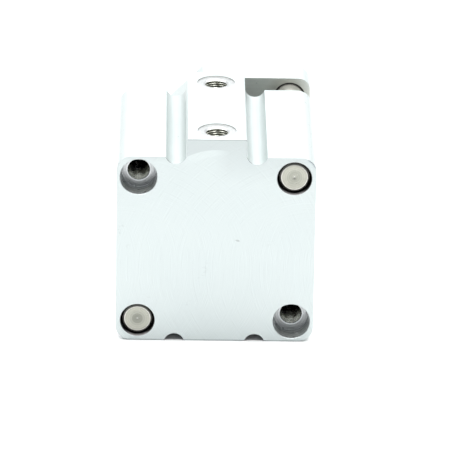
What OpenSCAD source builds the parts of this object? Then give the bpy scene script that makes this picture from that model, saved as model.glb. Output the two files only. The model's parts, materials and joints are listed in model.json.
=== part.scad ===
// Plate-type pneumatic gripper drive: a square housing with a blind cylinder bore,
// a piston whose rod carries a jaw plate, and two guide rods on one diagonal.
//
// Frame: the origin is the centre of the rear face, on the piston axis.
// +Y runs along the piston axis towards the jaw plate, +X to the right and +Z up.
// The jaw plate is drawn fully retracted and moves along +Y by at most `stroke`.

/* [Housing] */
// Width and height of the square housing
body_w = 77; // [76.5:0.5:80]
// Length of the housing
body_len = 73.5; // [73:0.5:80]
// Radius of the housing's four long edges
corner_r = 6; // [4:0.5:6.5]
// Spacing of the holes at the corners of the end faces
corner_pitch = 60; // [59.5:0.5:60.5]
// Width of the raised port boss
boss_w = 23; // [22:0.5:23]
// Height of the port boss above the housing's top face
boss_h = 7.3; // [6:0.1:9]
// Diameter of the cylinder bore
bore_d = 63; // [62:0.5:63]
// Thickness of the closed rear wall
rear_wall = 9; // [8.5:0.1:9]

/* [Sensor grooves] */
// Distance of each groove from the middle plane
groove_x = 15.65; // [15.6:0.05:16.5]
// Radius of the groove's round bottom
groove_r = 4; // [3.5:0.1:4]
// Depth of the groove below the face
groove_depth = 2.9; // [2:0.1:3.2]

/* [Air ports] */
// Wall radius of the tapped port
port_r = 4.283; // [4.1:0.001:4.5]
// Depth of the tapped port
port_depth = 9; // [7:0.5:10]
// Diameter of the machined seat round each port
port_seat_d = 15; // [13:0.5:16]
// Distance of the rear port from the rear face
rear_port_y = 9.6; // [9.2:0.1:10]
// Distance of the front port from the rear face
front_port_y = 62.1; // [61.8:0.1:62.6]

/* [Mounting holes] */
// Diameter of the counterbores
counterbore_d = 14.4; // [13:0.1:14.4]
// Depth of the counterbores at both ends
counterbore_depth = 8; // [6:0.5:10]
// Wall radius of the tapped through hole
mount_hole_r = 4.25; // [4:0.05:4.5]

/* [Moving parts] */
// Travel of the jaw plate
stroke = 25; // [10:1:25]
// Clear gap between housing and jaw plate when retracted
plate_gap = 14; // [8:0.5:30]
// Thickness of the jaw plate
plate_t = 14; // [13.5:0.5:20]
// Distance of the plate's slanted edges from its centre
plate_cut = 30.76; // [29:0.01:34]
// Radius of the jaw plate's rounded corners
plate_corner_r = 5.5; // [3:0.5:6]
// Diameter of the piston rod
rod_d = 20; // [18:0.5:20]
// Diameter of the guide rods
guide_d = 12; // [11.5:0.5:12]
// Recess of the guide rods' rear ends in the housing
guide_recess = 1.4; // [0.5:0.1:3]
// Distance between the plate's tapped finger holes, side to side
finger_pitch_x = 44; // [42:1:46]
// Distance between the plate's tapped finger holes, up and down
finger_pitch_z = 24; // [22:1:26]

/* [Hidden] */
$fn = 96;
// Segments of an O-ring's section
ring_fn = 32;
// How far cutting shapes run past the faces they open, and a cone past its face
over = 1;
tiny = 0.001;

// Radial play of a sliding shaft, and of a part that moves freely in the bore
slide_play = 0.03;
free_play = 0.3;
seal_play = 0.05;

// Housing
half_w = body_w / 2;
hole_x = corner_pitch / 2;
boss_top = half_w + boss_h;
boss_edge_r = 0.6;
groove_lift = groove_r - groove_depth;
bore_r = bore_d / 2;
port_seat_depth = 0.4;
passage_r = 2;
rear_passage_shift = 1.6;
front_passage_shift = 2.1;
rear_passage_y = rear_port_y + rear_passage_shift;
front_passage_y = front_port_y - front_passage_shift;
hole_chamfer = 0.5;

// Front cover and the seat that it sits in
seat_step = 1;
seat_depth = 10.5;
seat_r = bore_r + seat_step;
seat_y = body_len - seat_depth;
cover_play = 0.1;
cover_r = seat_r - cover_play;
nose_step = 2;
nose_len = 5.5;
nose_r = bore_r - nose_step;
nose_y = seat_y - nose_len;
flange_len = 7;
cover_face_y = seat_y + flange_len;
hub_r = 18;
hub_recess = 0.5;
hub_y = body_len - hub_recess;

// Retaining ring and its groove
ring_t = 2;
ring_y = cover_face_y + cover_play;
ring_groove_depth = 1.7;
ring_groove_r = seat_r + ring_groove_depth;
ring_play = 0.2;
ring_outer_r = ring_groove_r - ring_play;
ring_reach = 3.5;
ring_inner_r = seat_r - ring_reach;
ring_gap = 16;
ring_ear_r = 3.2;
ring_eye_r = 1.1;
ring_ear_x = 10.5;

// O-ring of the cover
o_ring_r = 1.3;
o_ring_y = seat_y + flange_len / 2;
o_ring_groove_w = 3.2;
o_ring_groove_r = seat_r - 2 * (o_ring_r + seal_play);

// Rod guide and rod seal in the cover
rod_r = rod_d / 2;
rod_bush_wall = 1.5;
rod_bush_len = 9;
rod_bush_r = rod_r + rod_bush_wall;
rod_bush_end = nose_y + rod_bush_len;
rod_lip_gap = 0.6;
rod_lip_r = rod_r + rod_lip_gap;
rod_seal_wall = 4;
rod_seal_r = rod_r + rod_seal_wall;
rod_seal_step = 0.5;
rod_seal_y = rod_bush_end + rod_seal_step;
rod_seal_cap = 1.5;
rod_seal_end = hub_y - rod_seal_cap;

// Guide rods, their holes, bushes and wipers
guide_r = guide_d / 2;
guide_rear_gap = 0.6;
guide_clear_r = guide_r + guide_rear_gap;
bush_wall = 1;
bush_r = guide_r + bush_wall;
bush_hole_y = 12;
bush_len = 15;
rear_bush_y = 12.5;
front_bush_depth = 19.5;
front_bush_y = body_len - front_bush_depth;
wiper_depth = 3.6;
wiper_y = body_len - wiper_depth;
wiper_t = 3.2;
guide_chamfer = 0.55;
centre_mark_r = 0.9;
centre_mark_depth = 0.7;

// Piston: three grooves with equal lands between them
piston_gap = 1;
piston_y = rear_wall + piston_gap;
piston_len = 20;
piston_front = piston_y + piston_len;
piston_r = bore_r - free_play;
relief_step = 2.5;
relief_r = bore_r - relief_step;
relief_len = 3;
first_land = 3.6;
land_w = 1.4;
seal_y = piston_y + first_land;
seal_w = 4;
seal_groove_depth = 4;
seal_floor_r = bore_r - seal_groove_depth;
magnet_y = seal_y + seal_w + land_w;
magnet_w = 3.6;
magnet_groove_depth = 5;
magnet_floor_r = bore_r - magnet_groove_depth;
magnet_step = 0.7;
magnet_r = bore_r - magnet_step;
wear_y = magnet_y + magnet_w + land_w;
wear_w = 4;
wear_groove_depth = 2;
wear_floor_r = bore_r - wear_groove_depth;
bumper_in_r = 20;
bumper_out_r = 24;
bumper_sink = 2.5;
bumper_proud = 0.8;
spigot_r = 7;
piston_recess = 6;
piston_step_y = piston_y + piston_recess;
piston_screw_head_r = 8.5;
piston_screw_head_t = 5;
piston_screw_recess_r = 9;
piston_o_ring_r = 1;
piston_o_ring_depth = 6;
piston_o_ring_y = piston_front - piston_o_ring_depth;

// Jaw plate and its screws
plate_y = body_len + plate_gap;
plate_front = plate_y + plate_t;
rod_pilot_r = 6;
rod_pilot_len = 3;
guide_pilot_len = 5;
m8_r = 4;
m8_head_r = 6.5;
m8_head_t = 8;
m8_hex = 6;
m6_r = 3;
m6_head_r = 5;
m6_head_t = 6;
m6_hex = 5;
screw_play = 0.4;
head_play = 0.5;
head_edge = 0.5;
screw_len = 16;
finger_hole_r = 2.5;
finger_hole_depth = 10;
dowel_r = 2.5;
dowel_depth = 8;
dowel_x = 31;
dowel_z = 6;

// ---------- Shared shapes ----------

// Cylinder along +Y between two stations
module round_y(r, y0, y1) {
    translate([0, y0, 0]) rotate([-90, 0, 0]) cylinder(r = r, h = y1 - y0);
}

// Cone along +Y between two stations
module cone_y(r0, r1, y0, y1) {
    translate([0, y0, 0]) rotate([-90, 0, 0]) cylinder(r1 = r0, r2 = r1, h = y1 - y0);
}

// Hollow cylinder along +Y between two stations
module sleeve_y(r_out, r_in, y0, y1) {
    difference() {
        round_y(r_out, y0, y1);
        round_y(r_in, y0 - over, y1 + over);
    }
}

// Extrudes a profile drawn in X and Z along +Y between two stations
module extrude_y(y0, y1) {
    translate([0, y1, 0]) rotate([90, 0, 0]) linear_extrude(height = y1 - y0) children();
}

// Torus round the Y axis
module torus_y(r_ring, r_section, y) {
    translate([0, y, 0]) rotate([-90, 0, 0])
        rotate_extrude() translate([r_ring, 0]) circle(r = r_section, $fn = ring_fn);
}

// Square with round corners
module rounded_square(w, r) {
    square([w, w - 2 * r], center = true);
    square([w - 2 * r, w], center = true);
    for (x = [-1, 1], z = [-1, 1])
        translate([x * (w / 2 - r), z * (w / 2 - r)]) circle(r = r);
}

// Places its children on the upper right (1) or lower left (-1) guide axis
module at_guide(side) {
    translate([side * hole_x, 0, side * hole_x]) children();
}

// Socket head cap screw along the Y axis; its head sits at y0 and faces +Y
module cap_screw(shank_r, head_r, head_t, hex, len, y0) {
    hex_depth = head_t / 2;
    difference() {
        union() {
            round_y(shank_r, y0 - len, y0);
            round_y(head_r, y0, y0 + head_t - head_edge);
            cone_y(head_r, head_r - head_edge, y0 + head_t - head_edge, y0 + head_t);
        }
        translate([0, y0 + head_t - hex_depth, 0]) rotate([-90, 0, 0])
            cylinder(d = hex / cos(30), h = hex_depth + over, $fn = 6);
    }
}

// ---------- Housing ----------

// Outline of the extruded housing: square, port boss and sensor grooves
module housing_profile() {
    difference() {
        union() {
            rounded_square(body_w, corner_r);
            translate([-boss_w / 2, 0]) square([boss_w, boss_top - boss_edge_r]);
            translate([boss_edge_r - boss_w / 2, 0]) square([boss_w - 2 * boss_edge_r, boss_top]);
            for (x = [-1, 1])
                translate([x * (boss_w / 2 - boss_edge_r), boss_top - boss_edge_r])
                    circle(r = boss_edge_r);
        }
        for (x = [-1, 1], z = [-1, 1])
            translate([x * groove_x, z * (half_w + groove_lift)]) circle(r = groove_r);
    }
}

// Tapped port with its seat, and the passage that leads down into the bore
module port_cut(y, passage_y) {
    translate([0, y, boss_top - port_seat_depth]) cylinder(d = port_seat_d, h = over);
    translate([0, y, boss_top - port_depth]) cylinder(r = port_r, h = port_depth);
    translate([0, passage_y, bore_r - over])
        cylinder(r = passage_r, h = boss_top - port_depth - bore_r + 2 * over);
}

// Through hole with a counterbore at each end
module mount_hole_cut() {
    counterbore_r = counterbore_d / 2;
    round_y(mount_hole_r, -over, body_len + over);
    round_y(counterbore_r, -over, counterbore_depth);
    round_y(counterbore_r, body_len - counterbore_depth, body_len + over);
}

// Guide rod hole: a clearance hole at the rear and the bush seat from the front
module guide_hole_cut() {
    round_y(guide_clear_r, -over, bush_hole_y + over);
    round_y(bush_r, bush_hole_y, body_len + over);
}

module housing() {
    color("gainsboro")
    difference() {
        extrude_y(0, body_len) housing_profile();
        round_y(bore_r, rear_wall, body_len + over);
        round_y(seat_r, seat_y, body_len + over);
        round_y(ring_groove_r, ring_y, ring_y + ring_t + cover_play);
        cone_y(seat_r, seat_r + hole_chamfer + over, body_len - hole_chamfer, body_len + over);
        port_cut(rear_port_y, rear_passage_y);
        port_cut(front_port_y, front_passage_y);
        for (side = [-1, 1]) {
            at_guide(side) guide_hole_cut();
            translate([side * hole_x, 0, -side * hole_x]) mount_hole_cut();
        }
    }
}

module front_cover() {
    color("silver")
    difference() {
        union() {
            round_y(nose_r, nose_y, seat_y);
            round_y(cover_r, seat_y, cover_face_y);
            round_y(hub_r, cover_face_y, hub_y);
        }
        round_y(rod_bush_r, nose_y - over, rod_bush_end);
        round_y(rod_lip_r, nose_y, hub_y + over);
        round_y(rod_seal_r, rod_seal_y, rod_seal_end);
        sleeve_y(cover_r + over, o_ring_groove_r,
                 o_ring_y - o_ring_groove_w / 2, o_ring_y + o_ring_groove_w / 2);
    }
}

module cover_o_ring() {
    color("black") torus_y(seat_r - seal_play - o_ring_r, o_ring_r, o_ring_y);
}

// Internal retaining ring: an open ring with two eyed ears
module cover_snap_ring() {
    ear_z = -sqrt(pow(ring_inner_r, 2) - pow(ring_ear_x, 2));
    color("dimgray")
    extrude_y(ring_y, ring_y + ring_t)
    difference() {
        union() {
            difference() {
                circle(r = ring_outer_r);
                circle(r = ring_inner_r);
                translate([-ring_gap / 2, -ring_groove_r - over]) square([ring_gap, ring_groove_r]);
            }
            for (x = [-1, 1]) translate([x * ring_ear_x, ear_z]) circle(r = ring_ear_r);
        }
        for (x = [-1, 1]) translate([x * ring_ear_x, ear_z]) circle(r = ring_eye_r);
    }
}

module rod_bush() {
    color("peru") sleeve_y(rod_bush_r, rod_r + slide_play, nose_y, rod_bush_end);
}

module rod_seal() {
    color("black") sleeve_y(rod_seal_r, rod_r + slide_play, rod_seal_y, rod_seal_end);
}

// Thin sliding bush for one guide rod
module guide_bush(side, y) {
    color("peru") at_guide(side) sleeve_y(bush_r, guide_r + slide_play, y, y + bush_len);
}

module upper_rear_bush() {
    guide_bush(1, rear_bush_y);
}

module upper_front_bush() {
    guide_bush(1, front_bush_y);
}

module lower_rear_bush() {
    guide_bush(-1, rear_bush_y);
}

module lower_front_bush() {
    guide_bush(-1, front_bush_y);
}

// Wiper ring that keeps dirt out of a front guide bush
module guide_wiper(side) {
    color("black") at_guide(side)
        sleeve_y(bush_r, guide_r + slide_play, wiper_y, wiper_y + wiper_t);
}

module upper_wiper() {
    guide_wiper(1);
}

module lower_wiper() {
    guide_wiper(-1);
}

// ---------- Piston ----------

module piston() {
    color("silver")
    difference() {
        union() {
            round_y(relief_r, piston_y, piston_y + relief_len);
            round_y(piston_r, piston_y + relief_len, piston_front);
        }
        sleeve_y(bore_r + over, seal_floor_r, seal_y, seal_y + seal_w);
        sleeve_y(bore_r + over, magnet_floor_r, magnet_y, magnet_y + magnet_w);
        sleeve_y(bore_r + over, wear_floor_r, wear_y, wear_y + wear_w);
        sleeve_y(bumper_out_r, bumper_in_r, piston_y - over, piston_y + bumper_sink);
        sleeve_y(bumper_out_r, bumper_in_r, piston_front - bumper_sink, piston_front + over);
        round_y(spigot_r, piston_y, piston_front + over);
        round_y(piston_screw_recess_r, piston_y - over, piston_step_y);
    }
}

module piston_seal() {
    color("black") sleeve_y(bore_r - seal_play, seal_floor_r, seal_y, seal_y + seal_w);
}

module piston_magnet() {
    color("dimgray") sleeve_y(magnet_r, magnet_floor_r, magnet_y, magnet_y + magnet_w);
}

module piston_wear_ring() {
    color("ivory") sleeve_y(bore_r - seal_play, wear_floor_r, wear_y, wear_y + wear_w);
}

module rear_bumper() {
    color("darkolivegreen")
        sleeve_y(bumper_out_r, bumper_in_r, piston_y - bumper_proud, piston_y + bumper_sink);
}

module front_bumper() {
    color("darkolivegreen")
        sleeve_y(bumper_out_r, bumper_in_r,
                 piston_front - bumper_sink, piston_front + bumper_proud);
}

// Rod with a rear spigot for the piston and a front pilot for the jaw plate
module piston_rod() {
    color("gainsboro")
    difference() {
        union() {
            round_y(spigot_r, piston_step_y + screw_play, piston_front);
            round_y(rod_r, piston_front, plate_y);
            round_y(rod_pilot_r, plate_y, plate_y + rod_pilot_len);
        }
        round_y(m8_r, piston_step_y, piston_step_y + screw_len + over);
        round_y(m8_r, plate_front - m8_head_t - head_play - screw_len - over, plate_front);
        sleeve_y(rod_r, spigot_r - 2 * piston_o_ring_r,
                 piston_o_ring_y - piston_o_ring_r, piston_o_ring_y + piston_o_ring_r);
    }
}

module piston_o_ring() {
    color("black") torus_y(spigot_r - piston_o_ring_r, piston_o_ring_r, piston_o_ring_y);
}

// Flange screw that clamps the piston on the rod's spigot; its head faces the rear
module piston_screw() {
    color("dimgray")
    translate([0, piston_step_y, 0]) rotate([0, 0, 180])
        cap_screw(m8_r, piston_screw_head_r, piston_screw_head_t, m8_hex, screw_len, 0);
}

// ---------- Guide rods and jaw plate ----------

module guide_rod(side) {
    color("lightgray") at_guide(side)
    difference() {
        union() {
            cone_y(guide_r - guide_chamfer, guide_r, guide_recess, guide_recess + guide_chamfer);
            round_y(guide_r, guide_recess + guide_chamfer, plate_y + guide_pilot_len);
        }
        cone_y(centre_mark_r, 0, guide_recess - tiny, guide_recess + centre_mark_depth);
        round_y(m6_r, plate_front - m6_head_t - head_play - screw_len - over, plate_front);
    }
}

module upper_guide_rod() {
    guide_rod(1);
}

module lower_guide_rod() {
    guide_rod(-1);
}

// Square plate with rounded corners; two opposite corners are cut back so that the
// housing's mounting screws can be reached past it
module plate_profile() {
    intersection() {
        rounded_square(body_w, plate_corner_r);
        rotate(45) square([2 * body_w, 2 * plate_cut], center = true);
    }
}

module jaw_plate() {
    color("gray")
    difference() {
        extrude_y(plate_y, plate_front) plate_profile();
        round_y(rod_pilot_r, plate_y - over, plate_y + rod_pilot_len);
        round_y(m8_r + screw_play, plate_y, plate_front);
        round_y(m8_head_r + head_play, plate_front - m8_head_t - head_play, plate_front + over);
        for (side = [-1, 1]) {
            at_guide(side) {
                round_y(guide_r, plate_y - over, plate_y + guide_pilot_len);
                round_y(m6_r + screw_play, plate_y, plate_front);
                round_y(m6_head_r + head_play,
                        plate_front - m6_head_t - head_play, plate_front + over);
            }
            translate([side * dowel_x, 0, side * dowel_z])
                round_y(dowel_r, plate_front - dowel_depth, plate_front + over);
        }
        for (x = [-1, 1], z = [-1, 1])
            translate([x * finger_pitch_x / 2, 0, z * finger_pitch_z / 2])
                round_y(finger_hole_r, plate_front - finger_hole_depth, plate_front + over);
    }
}

module piston_rod_screw() {
    color("dimgray")
        cap_screw(m8_r, m8_head_r, m8_head_t, m8_hex, screw_len,
                  plate_front - m8_head_t - head_play);
}

module guide_rod_screws() {
    color("dimgray")
    for (side = [-1, 1])
        at_guide(side)
            cap_screw(m6_r, m6_head_r, m6_head_t, m6_hex, screw_len,
                      plate_front - m6_head_t - head_play);
}

// ---------- Parts ----------

housing();
front_cover();
cover_o_ring();
cover_snap_ring();
rod_bush();
rod_seal();
upper_rear_bush();
upper_front_bush();
lower_rear_bush();
lower_front_bush();
upper_wiper();
lower_wiper();
piston();
piston_seal();
piston_magnet();
piston_wear_ring();
rear_bumper();
front_bumper();
piston_rod();
piston_o_ring();
piston_screw();
upper_guide_rod();
lower_guide_rod();
jaw_plate();
piston_rod_screw();
guide_rod_screws();
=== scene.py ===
"""Looks of a plate-type pneumatic gripper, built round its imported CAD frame.

Sections: measures, mesh builders, finishes, pieces, stage. Lengths are in metres in
the row frame: the origin is the centre of the rear face, +Y runs along the piston
axis towards the jaw plate and +Z is up.
"""
import json
import math

import bmesh
import bpy
from mathutils import Matrix, Vector

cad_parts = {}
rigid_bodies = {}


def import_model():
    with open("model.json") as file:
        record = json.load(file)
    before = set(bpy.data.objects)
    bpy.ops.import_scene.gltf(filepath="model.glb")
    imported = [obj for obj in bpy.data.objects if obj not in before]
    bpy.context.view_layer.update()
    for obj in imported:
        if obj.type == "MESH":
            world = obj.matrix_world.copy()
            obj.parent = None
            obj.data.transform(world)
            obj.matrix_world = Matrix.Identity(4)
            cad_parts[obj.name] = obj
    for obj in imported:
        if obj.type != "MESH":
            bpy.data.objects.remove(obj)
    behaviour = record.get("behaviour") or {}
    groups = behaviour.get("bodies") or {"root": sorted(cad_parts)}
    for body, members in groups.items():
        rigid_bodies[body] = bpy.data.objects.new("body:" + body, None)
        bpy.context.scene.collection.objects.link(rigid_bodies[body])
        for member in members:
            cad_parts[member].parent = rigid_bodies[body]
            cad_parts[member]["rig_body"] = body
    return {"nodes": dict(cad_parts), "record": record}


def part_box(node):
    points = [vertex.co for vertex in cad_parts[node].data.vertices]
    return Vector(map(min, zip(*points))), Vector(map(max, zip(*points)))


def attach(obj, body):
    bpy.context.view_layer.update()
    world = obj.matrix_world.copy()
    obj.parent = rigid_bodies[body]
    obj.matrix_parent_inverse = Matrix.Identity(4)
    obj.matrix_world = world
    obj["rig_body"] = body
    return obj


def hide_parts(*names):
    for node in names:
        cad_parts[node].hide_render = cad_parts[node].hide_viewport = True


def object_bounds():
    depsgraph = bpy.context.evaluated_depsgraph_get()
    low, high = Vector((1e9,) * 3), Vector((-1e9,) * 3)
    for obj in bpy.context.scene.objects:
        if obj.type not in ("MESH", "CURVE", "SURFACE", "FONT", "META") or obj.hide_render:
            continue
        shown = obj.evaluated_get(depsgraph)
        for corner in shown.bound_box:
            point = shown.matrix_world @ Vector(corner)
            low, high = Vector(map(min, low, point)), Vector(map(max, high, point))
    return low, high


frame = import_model()
cad_low, cad_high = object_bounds()

# ---------- Measures ----------

MM = 0.001
TAU = 2 * math.pi
MOUNTS = {mount["name"]: mount for mount in frame["record"]["mounts"]}


def mount_radius(name):
    """Radius that the record states for a mount."""
    return MOUNTS[name]["dims"]["r_mm"] * MM


# Housing
housing_low, housing_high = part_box("housing")
HALF = -housing_low.z
LENGTH = housing_high.y
BOSS_TOP = housing_high.z
BOSS_HALF = max(v.co.x for v in frame["nodes"]["housing"].data.vertices if v.co.z > HALF + MM)
BOSS_EDGE = 0.6 * MM
CORNER = 6 * MM
GROOVE_X = 15.65 * MM
GROOVE_R = 4 * MM
GROOVE_DEPTH = 2.9 * MM

# Holes of the end faces: the mounting holes' centres, then the guide rods'
HOLE = MOUNTS["mounting_holes"]["dims"]["pcd_mm"] * MM / 2 / math.sqrt(2)
MOUNT_AXES = [(-HOLE, HOLE), (HOLE, -HOLE)]
GUIDE_AXES = [(HOLE, HOLE), (-HOLE, -HOLE)]
MOUNT_R = MOUNTS["mounting_holes"]["dims"]["hole_r_mm"] * MM
COUNTERBORE_R = 7.2 * MM
COUNTERBORE_DEPTH = 8 * MM
GUIDE_R = (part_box("upper_guide_rod")[1].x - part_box("upper_guide_rod")[0].x) / 2
GUIDE_START, GUIDE_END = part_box("upper_guide_rod")[0].y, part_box("upper_guide_rod")[1].y
GUIDE_CLEAR_R = GUIDE_R + 0.6 * MM
BUSH_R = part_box("upper_front_bush")[1].x - HOLE
BUSH_HOLE_Y = 12 * MM

# Bore, cover seat and retaining ring
SEAL_PLAY = 0.05 * MM
BORE_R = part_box("piston_seal")[1].x + SEAL_PLAY
REAR_WALL = 9 * MM
COVER_LOW, COVER_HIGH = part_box("front_cover")
COVER_R = COVER_HIGH.x
SEAT_R = COVER_R + 0.1 * MM
SEAT_Y = LENGTH - 10.5 * MM
RING_LOW, RING_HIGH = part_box("cover_snap_ring")
RING_GROOVE_R = RING_HIGH.x + 0.2 * MM

# Air ports
PORT_R = mount_radius("rear_port")
PORT_YS = [MOUNTS["rear_port"]["pos_m"][1], MOUNTS["front_port"]["pos_m"][1]]
PASSAGE_YS = [PORT_YS[0] + 1.6 * MM, PORT_YS[1] - 2.1 * MM]
PASSAGE_R = 2 * MM
PORT_DEPTH = 9 * MM
PORT_SEAT_R = 7.5 * MM
PORT_SEAT_DEPTH = 0.4 * MM
PORT_LEAD = 0.55 * MM  # depth of the chamfer at the mouth of the thread

# Threads: height of the ridge and pitch
PORT_THREAD = (0.58 * MM, 0.907 * MM)
M10_THREAD = (0.75 * MM, 1.5 * MM)
M8_THREAD = (0.65 * MM, 1.25 * MM)
M6_THREAD = (0.5 * MM, 1.0 * MM)

# Jaw plate
PLATE_LOW, PLATE_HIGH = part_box("jaw_plate")
PLATE_Y, PLATE_FRONT = PLATE_LOW.y, PLATE_HIGH.y
PLATE_CORNER = 5.5 * MM
PLATE_CUT = 30.76 * MM * math.sqrt(2)  # |x| + |z| along its cut corners
FINGER = MOUNTS["finger_holes"]["dims"]
FINGER_R = FINGER["hole_r_mm"] * MM
FINGER_X, FINGER_Z = FINGER["spacing_x_mm"] * MM / 2, FINGER["spacing_y_mm"] * MM / 2
FINGER_AXES = [(side * FINGER_X, end * FINGER_Z) for side in (-1, 1) for end in (-1, 1)]
FINGER_DEPTH = 10 * MM
DOWEL_R = mount_radius("right_dowel_hole")
DOWEL_DEPTH = MOUNTS["right_dowel_hole"]["dims"]["length_mm"] * MM
ROD_R = (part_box("piston_rod")[1].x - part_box("piston_rod")[0].x) / 2

# ---------- Mesh builders ----------


def link(name, bm):
    """Turns a bmesh into an object of the scene."""
    bmesh.ops.recalc_face_normals(bm, faces=bm.faces)
    mesh = bpy.data.meshes.new(name)
    bm.to_mesh(mesh)
    bm.free()
    piece = bpy.data.objects.new(name, mesh)
    bpy.context.scene.collection.objects.link(piece)
    return piece


# Share of a thread's pitch that is flat at its root and at its crest, stations in one
# pitch, and stations over which a thread fades out at either end
THREAD_FLAT = 0.14
PITCH_STEPS = 8
FADE_STEPS = 6


def ridge_share(turns):
    """Height of a thread ridge, 0 at its root and 1 at its crest, with small flats."""
    flank = 1 - abs(2 * (turns % 1) - 1)
    return min(1, max(0, (flank - THREAD_FLAT) / (1 - 2 * THREAD_FLAT)))


def threaded(start, end, radius, thread, inward=False):
    """Stations of a thread between two points of the axis; it fades out at both ends."""
    ridge, pitch = thread
    steps = math.ceil(abs(end - start) / pitch * PITCH_STEPS)
    stations = []
    for i in range(steps + 1):
        fade = min(1, i / FADE_STEPS, (steps - i) / FADE_STEPS)
        height = ridge * fade * (-1 if inward else 1)
        stations.append((start + (end - start) * i / steps, radius, height, pitch))
    return stations


def turned(name, stations, x=0, z=0, segments=96, closed=False):
    """Solid of revolution round an axis along Y.

    A station is (y, radius) or (y, radius, ridge, pitch) on a thread. With closed the
    last station joins the first, which makes a ring.
    """
    on_axis = 1e-7
    bm = bmesh.new()
    rings = []
    for y, radius, *thread in stations:
        if radius < on_axis:
            rings.append([bm.verts.new((x, y, z))])
            continue
        ring = []
        for i in range(segments):
            angle = TAU * i / segments
            r = radius
            if thread:
                r += thread[0] * ridge_share(y / thread[1] - i / segments)
            ring.append(bm.verts.new((x + r * math.cos(angle), y, z + r * math.sin(angle))))
        rings.append(ring)
    pairs = list(zip(rings, rings[1:]))
    if closed:
        pairs.append((rings[-1], rings[0]))
    for a, b in pairs:
        for i in range(segments):
            j = (i + 1) % segments
            corners = [a[i % len(a)], a[j % len(a)], b[j % len(b)], b[i % len(b)]]
            bm.faces.new(list(dict.fromkeys(corners)))
    return link(name, bm)


def arc(x, z, radius, start, end, steps):
    """Points of an arc, from one angle to another in degrees."""
    angles = [math.radians(start + (end - start) * i / steps) for i in range(steps + 1)]
    return [(x + radius * math.cos(a), z + radius * math.sin(a)) for a in angles]


def prism(name, outline, start, end):
    """Straight solid with an outline in X and Z, between two stations of Y."""
    bm = bmesh.new()
    near = [bm.verts.new((x, start, z)) for x, z in outline]
    far = [bm.verts.new((x, end, z)) for x, z in outline]
    bm.faces.new(near)
    bm.faces.new(far)
    for i, point in enumerate(near):
        bm.faces.new([point, far[i], far[(i + 1) % len(far)], near[(i + 1) % len(near)]])
    return link(name, bm)


def apply_modifiers(piece):
    """Makes the modifiers' result the piece's own mesh."""
    graph = bpy.context.evaluated_depsgraph_get()
    shaped = piece.evaluated_get(graph)
    mesh = bpy.data.meshes.new_from_object(shaped, preserve_all_data_layers=True, depsgraph=graph)
    piece.modifiers.clear()
    piece.data = mesh
    return piece


def round_edges(piece, width):
    """Rounds every edge sharper than 30 degrees."""
    bevel = piece.modifiers.new("edges", "BEVEL")
    bevel.width = width
    bevel.segments = 2
    bevel.limit_method = "ANGLE"
    bevel.angle_limit = math.radians(30)
    bevel.miter_outer = "MITER_ARC"
    bevel.use_clamp_overlap = True
    return apply_modifiers(piece)


def cut(piece, cutters):
    """Takes the cutting shapes out of a piece and removes them."""
    for cutter in cutters:
        boolean = piece.modifiers.new("cut", "BOOLEAN")
        boolean.operation = "DIFFERENCE"
        boolean.solver = "EXACT"
        boolean.object = cutter
    apply_modifiers(piece)
    for cutter in cutters:
        bpy.data.objects.remove(cutter)
    return piece


def upright(piece, y, top):
    """Moves a shape turned round Y so that its axis points down from (0, y, top)."""
    piece.data.transform(Matrix.Translation((0, y, top)) @ Matrix.Rotation(-TAU / 4, 4, "X"))
    return piece


def smooth(piece):
    """Smooth shading that keeps edges sharper than 32 degrees and flat faces flat."""
    piece.data.shade_smooth()
    piece.data.set_sharp_from_angle(angle=math.radians(32))
    normals = piece.modifiers.new("normals", "WEIGHTED_NORMAL")
    normals.keep_sharp = True
    normals.weight = 100
    return apply_modifiers(piece)


def fit(piece, node, finishes, choose=None):
    """Makes a piece stand for a CAD node: its finishes, body and material slot.

    Each face has the finish that choose gives for its centre and normal, or else the
    first one.
    """
    smooth(piece)
    piece.data.materials.clear()
    for finish in finishes:
        piece.data.materials.append(finish)
    for face in piece.data.polygons:
        finish = choose(face.center, face.normal) if choose else finishes[0]
        face.material_index = finishes.index(finish)
    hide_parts(node)
    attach(piece, frame["nodes"][node]["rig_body"])
    return piece


# ---------- Finishes ----------


# Sockets of a Mix node: the factor, and the inputs and output for numbers and colours
MIX_FACTOR = 0
MIX_NUMBERS, MIX_NUMBER = (2, 3), 0
MIX_COLOURS, MIX_COLOUR = (6, 7), 2

# Parts of a noise's range that are drawn out: the upper part, and nearly all of it
UPPER_NOISE = (0.35, 0.7)
MOST_NOISE = (0.3, 0.7)


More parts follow.
